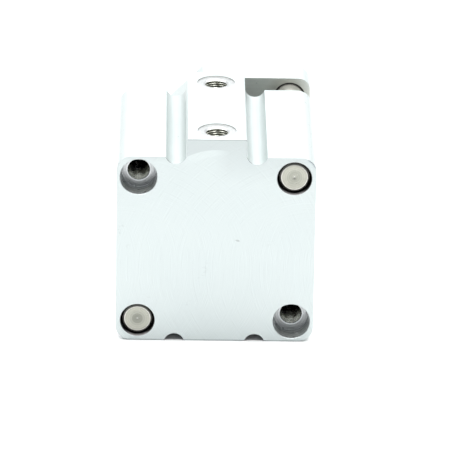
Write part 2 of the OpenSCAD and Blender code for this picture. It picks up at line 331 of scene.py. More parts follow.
class Finish:
    """A material under construction; every texture uses the row frame's metres."""

    def __init__(self, name, colour, metallic, roughness):
        self.material = bpy.data.materials.new(name)
        self.material.use_nodes = True
        self.tree = self.material.node_tree
        self.shader = self.tree.nodes["Principled BSDF"]
        self.base = (*colour, 1)
        self.set("Base Color", self.base)
        self.set("Metallic", metallic)
        self.set("Roughness", roughness)
        self.place = self.node("ShaderNodeTexCoord").outputs["Object"]
        self.x, self.y, self.z = self.node("ShaderNodeSeparateXYZ", {"Vector": self.place}).outputs

    def set(self, socket, value):
        """Gives a shader socket a constant, or links a texture to it."""
        self.put(self.shader.inputs[socket], value)

    def put(self, socket, value):
        """Gives any socket a constant, or links another socket to it."""
        if isinstance(value, bpy.types.NodeSocket):
            self.tree.links.new(value, socket)
        else:
            socket.default_value = value

    def node(self, kind, inputs=None, **settings):
        """Adds a node with its settings and what its inputs hold."""
        made = self.tree.nodes.new(kind)
        for key, value in settings.items():
            setattr(made, key, value)
        for key, value in (inputs or {}).items():
            self.put(made.inputs[key], value)
        return made

    def math(self, operation, *values):
        made = self.node("ShaderNodeMath", operation=operation)
        for socket, value in zip(made.inputs, values):
            self.put(socket, value)
        return made.outputs[0]

    def product(self, first, *others):
        """Multiplies values."""
        for other in others:
            first = self.math("MULTIPLY", first, other)
        return first

    def invert(self, share):
        """What a share from 0 to 1 leaves."""
        return self.math("SUBTRACT", 1, share)

    def mix(self, factor, first, second):
        """Blends two values by a factor."""
        a, b = MIX_NUMBERS
        inputs = {MIX_FACTOR: factor, a: first, b: second}
        return self.node("ShaderNodeMix", inputs).outputs[MIX_NUMBER]

    def noise(self, size, detail=3, stretch=(1, 1, 1)):
        """Noise with grains of the given size, drawn out along the axes by stretch."""
        scale = tuple(1 / (size * s) for s in stretch)
        spot = self.node("ShaderNodeMapping", {"Vector": self.place, "Scale": scale})
        inputs = {"Vector": spot.outputs[0], "Scale": 1, "Detail": detail}
        return self.node("ShaderNodeTexNoise", inputs).outputs["Fac"]

    def span(self, value, low, high, start=0, end=1):
        """Maps a value from start..end to low..high, clamped."""
        inputs = {"Value": value, "From Min": start, "From Max": end, "To Min": low, "To Max": high}
        return self.node("ShaderNodeMapRange", inputs).outputs[0]

    def lines(self, length, spacing):
        """Irregular lines across a length."""
        inputs = {"W": self.product(length, 1 / spacing), "Scale": 1, "Detail": 3}
        return self.node("ShaderNodeTexNoise", inputs, noise_dimensions="1D").outputs["Fac"]

    def wave(self, length, spacing):
        """Sine wave along a length, from 0 to 1."""
        turns = self.product(length, TAU / spacing)
        return self.math("MULTIPLY_ADD", self.math("SINE", turns), 0.5, 0.5)

    def radius(self, axes, u, v):
        """Distance to the nearest of some axes, measured in the plane of u and v."""
        nearest = None
        for a, b in axes:
            du = self.math("POWER", self.math("SUBTRACT", u, a), 2)
            dv = self.math("POWER", self.math("SUBTRACT", v, b), 2)
            distance = self.math("SQRT", self.math("ADD", du, dv))
            nearest = distance if nearest is None else self.math("MINIMUM", nearest, distance)
        return nearest

    def tint(self, factor, colour):
        """Blends the base colour towards another one by a factor."""
        under, over = MIX_COLOURS
        blend = self.node("ShaderNodeMix", data_type="RGBA")
        self.put(blend.inputs[MIX_FACTOR], factor)
        self.put(blend.inputs[under], self.base)
        self.put(blend.inputs[over], (*colour, 1))
        self.base = blend.outputs[MIX_COLOUR]
        self.set("Base Color", self.base)

    def bump(self, height, depth):
        """Adds relief of the given depth on top of what is there."""
        inputs = {"Height": height, "Distance": depth, "Strength": 1.0}
        if self.shader.inputs["Normal"].is_linked:
            inputs["Normal"] = self.shader.inputs["Normal"].links[0].from_socket
        self.set("Normal", self.node("ShaderNodeBump", inputs).outputs[0])

    def mottle(self, size, amount, colour):
        """Uneven colour in soft patches."""
        self.tint(self.span(self.noise(size, 4), 0, amount, *UPPER_NOISE), colour)

    def rub(self, low, high, size=3 * MM):
        """Uneven roughness, as handling leaves it."""
        self.set("Roughness", self.span(self.noise(size, 5), low, high, *MOST_NOISE))

    def scuffs(self, amount, colour, size=5 * MM):
        """A few small dark marks, where two noises peak together."""
        spots = self.span(self.noise(size, 2), 0, 1, 0.66, 0.7)
        flecks = self.span(self.noise(size / 6, 2, (1, 2, 0.6)), 0, 1, 0.55, 0.62)
        self.tint(self.product(spots, flecks, amount), colour)


ALUMINIUM = (0.620, 0.675, 0.670)
BARE_ALUMINIUM = (0.74, 0.76, 0.76)
DULL = (0.46, 0.50, 0.50)
# Mottle on the painted shadow in the guide rod holes
SHADOW_MOTTLE = (0.10, 0.095, 0.08)

# Centre of a handling mark on the end faces, and how it is drawn out and slanted
MARK_X, MARK_Z = 8.2 * MM, 4 * MM
MARK_SQUEEZE = 0.35
MARK_SLANT = 0.3

# Radii of a guide rod's rear end, where its flat ends and where its chamfer starts
END_FLAT_R = 4.95 * MM
END_RIM_R = 5.12 * MM


def extruded_aluminium():
    """Anodised skin with die lines along Y, with painted shade in the grooves that is strongest
    towards their edges and heaviest in the grooves on the underside.
    """
    f = Finish("anodised_extrusion", ALUMINIUM, metallic=0.55, roughness=0.42)
    die_lines = f.noise(0.35 * MM, 3, (1, 260, 1))
    f.mottle(14 * MM, 0.25, (0.57, 0.62, 0.62))
    f.tint(f.span(die_lines, 0, 0.2, 0.45, 0.7), DULL)
    # Painted shade in the grooves, light at their middle and strong towards their edges.
    lift = GROOVE_R - GROOVE_DEPTH
    outward = f.math("ABSOLUTE", f.x)
    from_axis = f.radius([(GROOVE_X, HALF + lift)], outward, f.math("ABSOLUTE", f.z))
    sideways = f.math("ABSOLUTE", f.math("SUBTRACT", outward, GROOVE_X))
    wall = f.span(sideways, 0.08, 0.42, 0.35 * GROOVE_R, 0.98 * GROOVE_R)
    inside = f.math("LESS_THAN", from_axis, GROOVE_R + 0.05 * MM)
    inside = f.product(inside, f.math("LESS_THAN", f.y, LENGTH))
    f.tint(f.product(wall, inside), (0.33, 0.36, 0.35))
    # Painted shade: the grooves on the underside are darker still.
    underside_groove_shade = f.product(f.math("LESS_THAN", f.z, 0), inside)
    f.tint(f.product(underside_groove_shade, 0.7), (0.12, 0.125, 0.13))
    f.scuffs(0.4, (0.30, 0.32, 0.32))
    f.rub(0.40, 0.46, 12 * MM)
    f.bump(die_lines, 0.010 * MM)
    f.bump(f.noise(0.12 * MM, 2), 0.005 * MM)
    return f.material


def mill_marks(f):
    """Relief of the tool marks: upright arcs low on the face, slanted ones high on it."""
    cutter_r, cutter_z = 46 * MM, -8 * MM
    up = f.math("SUBTRACT", f.z, cutter_z)
    reach = f.math("SUBTRACT", cutter_r ** 2, f.math("POWER", up, 2))
    reach = f.math("SQRT", f.math("MAXIMUM", reach, 0))
    leading = f.lines(f.math("SUBTRACT", f.x, reach), 0.42 * MM)
    trailing = f.lines(f.math("ADD", f.math("ADD", f.x, reach), 7 * MM), 0.55 * MM)
    rising = f.lines(f.radius([(-37 * MM, -16 * MM)], f.x, f.z), 0.6 * MM)
    falling = f.lines(f.radius([(37 * MM, -14 * MM)], f.x, f.z), 0.7 * MM)
    patches = f.noise(5 * MM, 3)
    upright_marks = f.mix(f.span(patches, 0, 1, 0.4, 0.6), leading, trailing)
    slanted_marks = f.mix(f.span(patches, 0.2, 0.8, 0.4, 0.6), rising, falling)
    marks = f.mix(f.span(f.z, 0, 1, 4 * MM, 22 * MM), upright_marks, slanted_marks)
    strength = f.span(f.noise(2.2 * MM, 3, (1, 1, 2.5)), 0.15, 1, 0.4, 0.62)
    return f.math("MULTIPLY_ADD", f.math("SUBTRACT", marks, 0.5), strength, 0.5)


def shade_boss(f):
    """Darker top of the boss, bounded by an arc on the left, over a brighter crescent that is a
    painted highlight.
    """
    above = f.span(f.radius([(0, 17.3 * MM)], f.x, f.z), 0, 1, 24 * MM, 24.3 * MM)
    above = f.product(above, f.span(f.z, 0, 1, 36 * MM, 39 * MM))
    right = f.span(f.x, 0, 1, -1 * MM, 5 * MM)
    left = f.invert(right)
    gradual = f.product(f.span(f.z, 0, 1, 27 * MM, 44 * MM), right)
    sharp = f.product(above, left)
    f.tint(f.product(f.math("ADD", sharp, gradual), 0.5), DULL)
    # Painted highlight: a bright crescent just under the arc, on the left.
    crescent = f.span(f.radius([(3.5 * MM, 15.6 * MM)], f.x, f.z), 0, 1, 23.6 * MM, 24 * MM)
    high = f.span(f.z, 0, 1, 35 * MM, 38 * MM)
    crescent = f.product(crescent, f.invert(above), high, left)
    f.tint(f.product(crescent, 0.35), (0.66, 0.715, 0.71))


def draw_mark(f):
    """Handling mark with a ragged outline."""
    across = f.product(f.x, MARK_SQUEEZE)
    slanted = f.math("MULTIPLY_ADD", f.x, MARK_SLANT, f.z)
    centre = (MARK_X * MARK_SQUEEZE, MARK_Z + MARK_X * MARK_SLANT)
    from_mark = f.radius([centre], across, slanted)
    ragged = f.math("MULTIPLY_ADD", f.noise(0.7 * MM, 2, (3, 1, 1)), -0.9 * MM, from_mark)
    f.tint(f.span(ragged, 0.6, 0, -0.25 * MM, 0.02 * MM), (0.30, 0.33, 0.33))


def paint_edge_shade(f):
    """Painted shade: dark lines along the bottom edge, the boss's top edge and the upper right
    corner.
    """
    f.tint(f.span(f.z, 0.8, 0, 0.15 * MM - HALF, 0.6 * MM - HALF), (0.20, 0.23, 0.24))
    f.tint(f.span(f.z, 0, 0.5, BOSS_TOP - 0.55 * MM, BOSS_TOP - 0.25 * MM), (0.26, 0.29, 0.30))
    inner = HALF - CORNER
    from_corner = f.radius([(inner, inner)], f.x, f.z)
    rim = f.span(from_corner, 0, 0.6, CORNER - 0.75 * MM, CORNER - 0.4 * MM)
    rightmost = f.span(f.x, 0, 1, inner + 2.2 * MM, inner + 3.2 * MM)
    topmost = f.span(f.z, 0, 1, inner + 1.6 * MM, inner + 2.6 * MM)
    f.tint(f.product(rim, rightmost, topmost), (0.22, 0.26, 0.29))


def face_milled_aluminium():
    """Anodised end face with the crossing arcs of a large face mill that ran along X, with painted
    shade along its edges and a painted highlight near the boss.
    """
    f = Finish("face_milled_end", ALUMINIUM, metallic=0.55, roughness=0.40)
    relief = mill_marks(f)
    f.mottle(18 * MM, 0.35, (0.585, 0.645, 0.65))
    f.tint(f.span(relief, 0, 0.32, 0.38, 0.66), DULL)
    shade_boss(f)
    draw_mark(f)
    f.scuffs(0.2, (0.32, 0.35, 0.35), 14 * MM)
    paint_edge_shade(f)
    f.set("Roughness", f.span(relief, 0.37, 0.45, *MOST_NOISE))
    f.bump(relief, 0.012 * MM)
    f.bump(f.noise(0.15 * MM, 2), 0.005 * MM)
    return f.material


def darker(colour, share):
    """A colour scaled down to a share of its brightness."""
    return tuple(c * share for c in colour)


def bored_aluminium(name, axes, plane, wall_r, rings, colour=BARE_ALUMINIUM, roughness=0.34):
    """Machined hole or seat with tool rings round the nearest axis and along the wall.

    The floor within wall_r is shaded towards its lower half. The strength of the rings
    goes from 0 to 1.
    """
    f = Finish(name, colour, metallic=0.85, roughness=roughness)
    u, v = (f.x, f.z) if plane == "xz" else (f.x, f.y)
    along = f.y if plane == "xz" else f.z
    from_axis = f.radius(axes, u, v)
    f.mottle(1.2 * MM, 0.4, darker(colour, 0.7))
    f.tint(f.span(f.wave(from_axis, 0.95 * MM), 0, rings), darker(colour, 0.5))
    f.tint(f.span(f.wave(along, 2.3 * MM), 0, rings), darker(colour, 0.5))
    # Painted shade on the floor, stronger towards its lower half and away from the lip of the hole.
    on_floor = f.span(from_axis, 1, 0, wall_r - 0.5 * MM, wall_r - 0.2 * MM)
    off_lip = f.span(from_axis, 0.2, 1, MOUNT_R + 0.4 * MM, MOUNT_R + 0.7 * MM)
    low = f.span(f.radius(axes, u, f.math("SUBTRACT", v, 4 * MM)), 0.3, 0.75, 5 * MM, 9 * MM)
    f.tint(f.product(on_floor, off_lip, low), darker(colour, 0.35))
    f.rub(roughness - 0.04, roughness + 0.06, 2 * MM)
    f.bump(f.lines(from_axis, 0.2 * MM), 0.006 * MM)
    f.bump(f.lines(along, 0.2 * MM), 0.006 * MM)
    return f.material


def shaded_edge_finish(name, colour, residue):
    """Narrow edge or wall in a dark tone that paints the shade on it, with uneven residue in its
    corner.
    """
    f = Finish(name, colour, metallic=0.8, roughness=0.4)
    f.mottle(1.2 * MM, 0.5, residue)
    f.bump(f.lines(f.z, 0.1 * MM), 0.005 * MM)
    f.rub(0.33, 0.5, 1 * MM)
    return f.material


def tapped_aluminium():
    """Thread flanks: bare, slightly warm metal, with painted shade in the roots and a painted shadow
    deeper in the mount holes.
    """
    f = Finish("tapped_thread", (0.66, 0.67, 0.60), metallic=0.9, roughness=0.28)
    f.mottle(1.5 * MM, 0.15, (0.36, 0.35, 0.29))
    from_wall = [
        f.math("SUBTRACT", f.radius(MOUNT_AXES, f.x, f.z), MOUNT_R),
        f.math("SUBTRACT", f.radius([(0, y) for y in PORT_YS], f.x, f.y), PORT_R),
        f.math("SUBTRACT", f.radius(FINGER_AXES, f.x, f.z), FINGER_R),
    ]
    # Painted shade in the thread roots.
    root = f.math("MINIMUM", f.math("MINIMUM", from_wall[0], from_wall[1]), from_wall[2])
    f.tint(f.span(root, 0, 0.88, 0.25 * MM, 0.5 * MM), (0.04, 0.04, 0.035))
    # Painted shadow: the mount holes turn nearly black deeper in.
    from_end = f.math("MINIMUM", f.y, f.math("SUBTRACT", LENGTH, f.y))
    depth = f.span(from_end, 0, 0.97, COUNTERBORE_DEPTH + 5 * MM, COUNTERBORE_DEPTH + 14 * MM)
    in_mount = f.math("LESS_THAN", from_wall[0], COUNTERBORE_R - MOUNT_R)
    f.tint(f.product(depth, in_mount), (0.012, 0.012, 0.010))
    f.rub(0.22, 0.36, 0.8 * MM)
    return f.material


def honed_bore():
    """Cylinder bore with crossing honing lines."""
    f = Finish("honed_bore", (0.70, 0.71, 0.70), metallic=0.9, roughness=0.22)
    around = f.product(f.math("ARCTAN2", f.z, f.x), BORE_R)
    up = f.wave(f.math("ADD", around, f.y), 0.9 * MM)
    down = f.wave(f.math("SUBTRACT", around, f.y), 0.9 * MM)
    f.bump(f.product(up, down), 0.003 * MM)
    f.rub(0.18, 0.3)
    return f.material


def dark_hole():
    """Wall of the guide rod holes, a painted shadow: black further in, with painted light on the
    grey lower lip of the mouth.
    """
    f = Finish("painted_hole_shadow", (0.06, 0.06, 0.057), metallic=0.2, roughness=0.4)
    from_end = f.math("MINIMUM", f.y, f.math("ABSOLUTE", f.math("SUBTRACT", LENGTH, f.y)))
    f.mottle(2 * MM, 0.3, SHADOW_MOTTLE)
    # Painted shadow, nearly black from about a millimetre in.
    f.tint(f.span(from_end, 0, 1, 0.3 * MM, MM), (0.006, 0.006, 0.006))
    # Painted light: grey on the lower lip of the mouth.
    above = f.math("MULTIPLY_ADD", f.math("SIGN", f.x), -HOLE, f.z)
    bottom = f.span(above, 0.85, 0, -GUIDE_R, 1.5 * MM - GUIDE_R)
    mouth_only = f.span(from_end, 1, 0, 1.2 * MM, 1.8 * MM)
    f.tint(f.product(bottom, mouth_only), (0.30, 0.29, 0.29))
    f.bump(f.wave(f.y, 0.4 * MM), 0.008 * MM)
    return f.material


def turned_end():
    """Turned rear end of a guide rod: zones and fine rings round its centre mark, a painted
    highlight on the centre mark and painted shade on the rim chamfer.
    """
    f = Finish("turned_rod_end", (0.47, 0.47, 0.41), metallic=0.92, roughness=0.3)
    distance = f.radius(GUIDE_AXES, f.x, f.z)
    rings = f.lines(distance, 0.3 * MM)
    f.mottle(2.2 * MM, 0.35, (0.42, 0.42, 0.365))
    f.tint(f.span(rings, 0, 0.5, 0.4, 0.65), (0.31, 0.31, 0.265))
    f.tint(f.span(f.wave(distance, 0.85 * MM), 0, 0.45), (0.27, 0.275, 0.24))
    f.tint(f.span(distance, 0.5, 0, 2.6 * MM, 3.6 * MM), (0.29, 0.30, 0.26))
    centre = f.span(distance, 1, 0, 1.9 * MM, 2.2 * MM)
    f.tint(f.product(centre, f.span(f.x, 0.6, 0.15, -MM, MM)), (0.19, 0.195, 0.17))
    # Painted highlight on the centre mark.
    f.tint(f.span(distance, 0.6, 0, 0.25 * MM, 0.45 * MM), (0.62, 0.62, 0.58))
    bright = f.span(distance, 0, 0.8, END_FLAT_R - 0.2 * MM, END_FLAT_R - 0.05 * MM)
    f.tint(bright, (0.66, 0.655, 0.61))
    # Painted shade on the rim chamfer.
    f.tint(f.span(distance, 0, 0.8, END_RIM_R, END_RIM_R + 0.08 * MM), (0.19, 0.19, 0.175))
    f.set("Roughness", f.span(f.noise(1.5 * MM, 3), 0.26, 0.38, *MOST_NOISE))
    f.bump(rings, 0.03 * MM)
    return f.material


def ground_steel():
    """Ground side of a guide rod, with faint lines round it and a film of oil."""
    f = Finish("ground_rod", (0.72, 0.705, 0.65), metallic=0.9, roughness=0.24)
    f.mottle(6 * MM, 0.15, (0.60, 0.58, 0.53))
    f.rub(0.2, 0.27, 3 * MM)
    f.bump(f.noise(0.06 * MM, 2, (6, 0.5, 6)), 0.002 * MM)
    return f.material


def hard_chrome():
    """Polished piston rod with faint grinding lines."""
    f = Finish("hard_chrome_rod", (0.80, 0.80, 0.79), metallic=1.0, roughness=0.12)
    f.bump(f.noise(0.05 * MM, 2, (8, 0.4, 8)), 0.0015 * MM)
    f.rub(0.09, 0.18)
    return f.material


def milled_plate():
    """Anodised plate with the lines of an end mill, with painted shade round the rods at its rear.
    """
    f = Finish("milled_plate", (0.63, 0.655, 0.615), metallic=0.75, roughness=0.36)
    rows = f.wave(f.math("ADD", f.z, f.product(f.noise(8 * MM, 2), 0.8 * MM)), 1.6 * MM)
    fine = f.noise(0.3 * MM, 2, (60, 1, 1))
    f.mottle(12 * MM, 0.4, (0.50, 0.525, 0.50))
    f.tint(f.span(rows, 0, 0.1), (0.43, 0.45, 0.43))
    # Painted shade on the rear face, centred a little left of each rod.
    from_rods = f.radius(GUIDE_AXES, f.math("ADD", f.x, 1.5 * MM), f.z)
    rear = f.math("LESS_THAN", f.y, PLATE_Y + MM)
    f.tint(f.product(f.span(from_rods, 0.65, 0, 6 * MM, 9.5 * MM), rear), (0.36, 0.36, 0.32))
    f.tint(f.product(f.invert(rear), 0.7), (0.36, 0.385, 0.375))
    f.scuffs(0.6, (0.18, 0.19, 0.19))
    f.rub(0.32, 0.42, 8 * MM)
    f.bump(rows, 0.006 * MM)
    f.bump(fine, 0.008 * MM)
    return f.material


def turned_cover():
    """Front cover: facing marks round the piston axis."""
    f = Finish("turned_cover", (0.74, 0.76, 0.76), metallic=0.85, roughness=0.32)
    distance = f.radius([(0, 0)], f.x, f.z)
    rings = f.math("ADD", f.wave(distance, 0.5 * MM), f.wave(distance, 0.17 * MM))
    f.mottle(6 * MM, 0.4, (0.62, 0.64, 0.64))
    f.rub(0.27, 0.4)
    f.bump(rings, 0.007 * MM)
    return f.material


def black_oxide():
    """Screw steel: blue-black with lighter, rubbed patches."""
    f = Finish("black_oxide_screw", (0.035, 0.037, 0.042), metallic=0.75, roughness=0.38)
    f.mottle(1.4 * MM, 0.5, (0.11, 0.10, 0.09))
    f.rub(0.3, 0.5, 0.9 * MM)
    f.bump(f.noise(0.12 * MM, 2), 0.006 * MM)
    return f.material


def phosphated_steel():
    """Spring steel ring: dark grey with a crystalline skin."""
    f = Finish("phosphated_ring", (0.10, 0.10, 0.105), metallic=0.6, roughness=0.45)
    f.mottle(1.8 * MM, 0.5, (0.20, 0.19, 0.18))
    f.bump(f.noise(0.1 * MM, 3), 0.008 * MM)
    f.rub(0.36, 0.55)
    return f.material


def rubber(name, colour):
    f = Finish(name, colour, metallic=0, roughness=0.62)
    f.mottle(2 * MM, 0.4, tuple(c * 1.8 + 0.01 for c in colour))
    f.rub(0.5, 0.72)
    f.bump(f.noise(0.15 * MM, 3), 0.01 * MM)
    return f.material


def sintered_bronze():
    f = Finish("sintered_bronze", (0.52, 0.33, 0.16), metallic=0.85, roughness=0.45)
    f.mottle(1 * MM, 0.5, (0.30, 0.18, 0.08))
    f.bump(f.noise(0.18 * MM, 3), 0.015 * MM)
    f.rub(0.36, 0.56, 1 * MM)
    return f.material


def turned_piston():
    f = Finish("turned_piston", (0.72, 0.73, 0.72), metallic=0.85, roughness=0.34)
    f.bump(f.wave(f.y, 0.25 * MM), 0.006 * MM)
    f.bump(f.wave(f.radius([(0, 0)], f.x, f.z), 0.3 * MM), 0.006 * MM)
    f.mottle(5 * MM, 0.3, (0.58, 0.59, 0.58))
    f.rub(0.28, 0.42)
    return f.material


def bonded_magnet():
    f = Finish("bonded_magnet", (0.075, 0.07, 0.07), metallic=0.25, roughness=0.55)
    f.mottle(0.8 * MM, 0.6, (0.16, 0.15, 0.15))
    f.bump(f.noise(0.1 * MM, 3), 0.012 * MM)
    f.rub(0.45, 0.65)
    return f.material


def wear_plastic():
    f = Finish("wear_ring_plastic", (0.72, 0.69, 0.60), metallic=0, roughness=0.45)
    f.mottle(3 * MM, 0.4, (0.62, 0.58, 0.48))
    f.bump(f.wave(f.y, 0.4 * MM), 0.004 * MM)
    f.rub(0.38, 0.52)
    return f.material


EXTRUDED = extruded_aluminium()
END_FACE = face_milled_aluminium()
COUNTERBORED = bored_aluminium("counterbored_hole", MOUNT_AXES, "xz", COUNTERBORE_R, rings=0.65,
                               colour=(0.84, 0.87, 0.88), roughness=0.3)
PORT_SEAT = bored_aluminium("port_seat", [(0, y) for y in PORT_YS], "xy", 0, rings=0.1)
# Painted shade: a dark tone for the boss's top edge at the ends and for the port seats' walls.
SHADED_CUT_EDGE = shaded_edge_finish("shaded_edge_finish", (0.40, 0.41, 0.40), (0.28, 0.29, 0.28))
# Painted shade: a darker tone for the bevels along the bottom edge and the upper right corner of the
# ends.
DARK_SHADED_EDGE = shaded_edge_finish("dark_edge_shade", (0.09, 0.10, 0.11), (0.16, 0.17, 0.18))
TAPPED = tapped_aluminium()
HONED = honed_bore()
# Painted shadow for the walls round the guide rods.
HOLE_SHADOW = dark_hole()
ROD_END = turned_end()
GROUND = ground_steel()
CHROME = hard_chrome()
PLATE = milled_plate()
COVER = turned_cover()
OXIDE = black_oxide()
PHOSPHATED = phosphated_steel()
BLACK_RUBBER = rubber("seal_rubber", (0.018, 0.018, 0.019))
GREEN_RUBBER = rubber("bumper_rubber", (0.05, 0.07, 0.04))
BRONZE = sintered_bronze()
PISTON = turned_piston()
MAGNET = bonded_magnet()
WEAR = wear_plastic()

# ---------- Pieces ----------

# How far a cutting shape stands out, how much a hole's edge is broken, how close to a
# wall counts as on it, the share of a normal that makes a face flat, and the width of
# the housing's rounded edges
OUT = 1 * MM
BREAK = 0.2 * MM
NEAR = 0.02 * MM
FLAT = 0.95
EDGE = 0.26 * MM


def half_outline():
    """Right half of the housing's outline, from the bottom up."""
    lift = GROOVE_R - GROOVE_DEPTH
    lip = math.degrees(math.asin(lift / GROOVE_R))
    inner = HALF - CORNER
    return [
        *arc(GROOVE_X, -HALF - lift, GROOVE_R, 180 - lip, lip, 24),
        *arc(inner, -inner, CORNER, -90, 0, 18),
        *arc(inner, inner, CORNER, 0, 90, 18),
        *arc(GROOVE_X, HALF + lift, GROOVE_R, -lip, lip - 180, 24),
        (BOSS_HALF, HALF),
        *arc(BOSS_HALF - BOSS_EDGE, BOSS_TOP - BOSS_EDGE, BOSS_EDGE, 0, 90, 5),
    ]


def mouth(y, radius, inward):
    """Stations of a broken edge where a hole opens; inward is +1 or -1 along Y."""
    return [(y - inward * OUT, radius + BREAK + OUT), (y + inward * BREAK, radius)]


def mount_hole(x, z):
    """Hole with a thread behind the counterbore, ringed by its cutter, at each end."""
    depth, wall_r = COUNTERBORE_DEPTH, COUNTERBORE_R
    wall_steps, floor_steps, ring_steps = 40, 16, 8
    floor_r = wall_r - 0.3 * MM
    rear = [(-OUT, 0), *mouth(0, wall_r, 1)]
    for i in range(1, wall_steps + 1):
        ring = 0.09 * MM * (1 - math.cos(TAU * i / ring_steps))
        rear.append((BREAK + (depth - 3 * BREAK) * i / wall_steps, wall_r - ring))
    rear += [(depth - 0.2 * MM, wall_r - 0.1 * MM), (depth, floor_r)]
    for i in range(1, floor_steps + 1):
        ring = 0.04 * MM * (1 - math.cos(TAU * i / ring_steps))
        rear.append((depth - ring, floor_r - 0.07 * MM * i))
    rear += [
        (depth, MOUNT_R + 0.45 * MM), (depth + 0.04 * MM, MOUNT_R + 0.15 * MM),
        (depth + 0.19 * MM, MOUNT_R),
        *threaded(depth + 0.35 * MM, depth + 20 * MM, MOUNT_R, M10_THREAD),
    ]
    front = [(LENGTH - y, *rest) for y, *rest in reversed(rear)]
    return turned("mount_hole", rear + front, x, z, 64)


def guide_hole(x, z):
    """Guide rod hole: clearance at the rear, bush seat from the front."""
    stations = [
        (-OUT, 0), (-OUT, GUIDE_CLEAR_R + 0.2 * MM + OUT), (0.2 * MM, GUIDE_CLEAR_R),
        (BUSH_HOLE_Y, GUIDE_CLEAR_R),
        (BUSH_HOLE_Y, BUSH_R), *reversed(mouth(LENGTH, BUSH_R, -1)), (LENGTH + OUT, 0),
    ]
    return turned("guide_hole", stations, x, z)


def main_bore():
    """Blind bore with the cover's seat, the retaining ring's groove and its mouth."""
    stations = [
        (REAR_WALL, 0), (REAR_WALL, BORE_R - MM), (REAR_WALL + MM, BORE_R),
        (SEAT_Y, BORE_R), (SEAT_Y, SEAT_R),
        (RING_LOW.y, SEAT_R), (RING_LOW.y, RING_GROOVE_R),
        (RING_HIGH.y + 0.1 * MM, RING_GROOVE_R), (RING_HIGH.y + 0.1 * MM, SEAT_R),
        (LENGTH - 0.5 * MM, SEAT_R), (LENGTH + OUT, SEAT_R + 0.5 * MM + OUT), (LENGTH + OUT, 0),
    ]
    return turned("main_bore", stations, segments=160)


def port_hole(y):
    """Seat, lead-in chamfer and thread of an air port, with depth along its axis."""
    rim = PORT_R + 0.6 * MM
    stations = [
        (-OUT, 0), (-OUT, PORT_SEAT_R), (PORT_SEAT_DEPTH - 0.1 * MM, PORT_SEAT_R),
        (PORT_SEAT_DEPTH, PORT_SEAT_R - 0.1 * MM), (PORT_SEAT_DEPTH, rim),
        (PORT_SEAT_DEPTH + PORT_LEAD, PORT_R),
        *threaded(PORT_SEAT_DEPTH + PORT_LEAD, PORT_DEPTH - MM, PORT_R, PORT_THREAD)[1:],
        (PORT_DEPTH, PORT_R), (PORT_DEPTH, 0),
    ]
    return upright(turned("port_hole", stations, segments=64), y, BOSS_TOP)


def passage(y):
    """Drilled air passage from the bottom of a port into the bore."""
    bottom = BOSS_TOP - BORE_R + MM
    top = PORT_DEPTH - 0.2 * MM
    stations = [(top, 0), (top, PASSAGE_R), (bottom, PASSAGE_R), (bottom, 0)]
    return upright(turned("passage", stations, segments=32), y, BOSS_TOP)


def distance(point, axes):
    """Distance of a point from the nearest of some axes along Y."""
    return min(math.hypot(point.x - x, point.z - z) for x, z in axes)


def end_finish(centre, normal):
    """Which finish a face at either end of the housing has."""
    if abs(normal.y) > FLAT or centre.y > EDGE:
        return END_FACE
    # Painted shade on the boss's top edge at either end.
    if centre.z > BOSS_TOP - 0.25 * MM:
        return SHADED_CUT_EDGE
    turn = math.degrees(math.atan2(normal.z, normal.x))
    # Painted shade on the bevels at the upper right corner and along the bottom edge.
    upper_right = centre.z > HALF - 4 * MM and abs(turn - 40) < 22
    shaded_rim = upper_right or centre.z < 0.5 * MM - HALF
    return DARK_SHADED_EDGE if shaded_rim and distance(centre, GUIDE_AXES) > BUSH_R else END_FACE


def port_finish(centre, normal, from_port):
    """Which finish a face in an air port has."""
    if from_port < PORT_R + 0.7 * MM:
        return PORT_SEAT if centre.z > BOSS_TOP - PORT_SEAT_DEPTH - PORT_LEAD else TAPPED
    # Painted shade on the wall of the port's seat.
    on_wall = abs(normal.z) < 0.9 and from_port > PORT_SEAT_R - 0.12 * MM
    return SHADED_CUT_EDGE if on_wall else PORT_SEAT


def housing_finish(centre, normal):
    """Which of HOUSING_FINISHES a face of the housing has."""
    from_guide = distance(centre, GUIDE_AXES)
    from_mount = distance(centre, MOUNT_AXES)
    from_port = min(math.hypot(centre.x, centre.y - y) for y in PORT_YS)
    # Painted shadow on the walls of the guide rod holes.
    if from_guide < GUIDE_CLEAR_R + 0.5 * MM and centre.y < MM and abs(normal.y) < FLAT:
        return HOLE_SHADOW
    if abs(normal.y) > 0.5 and not EDGE < centre.y < LENGTH - EDGE:
        return end_finish(centre, normal)
    if from_mount < MOUNT_R + 0.85 * MM:
        on_floor = abs(normal.y) > 0.3 and from_mount > MOUNT_R + 0.05 * MM
        on_floor &= min(centre.y, LENGTH - centre.y) < COUNTERBORE_DEPTH + 0.25 * MM
        return COUNTERBORED if on_floor else TAPPED
    if from_mount < COUNTERBORE_R + NEAR:
        return COUNTERBORED
    # Painted shadow in the bush seats.
    if from_guide < BUSH_R + NEAR:
        return HOLE_SHADOW
    if BORE_R < centre.z < BOSS_TOP - 0.01 * MM and from_port < PORT_SEAT_R + NEAR:
        return port_finish(centre, normal, from_port)
    if math.hypot(centre.x, centre.z) < RING_GROOVE_R + 0.05 * MM:
        return HONED
    return EXTRUDED


HOUSING_FINISHES = [
    EXTRUDED, END_FACE, COUNTERBORED, TAPPED, PORT_SEAT, HOLE_SHADOW, HONED, SHADED_CUT_EDGE, DARK_SHADED_EDGE,
]


def make_housing():
    right = half_outline()
    left = [(-x, z) for x, z in reversed(right)]
    shell = round_edges(prism("housing_shell", right + left, 0, LENGTH), 0.22 * MM)
    cutters = [main_bore()]
    cutters += [mount_hole(x, z) for x, z in MOUNT_AXES]
    cutters += [guide_hole(x, z) for x, z in GUIDE_AXES]
    cutters += [port_hole(y) for y in PORT_YS]
    cutters += [passage(y) for y in PASSAGE_YS]
    cut(shell, cutters)
    fit(shell, "housing", HOUSING_FINISHES, housing_finish)


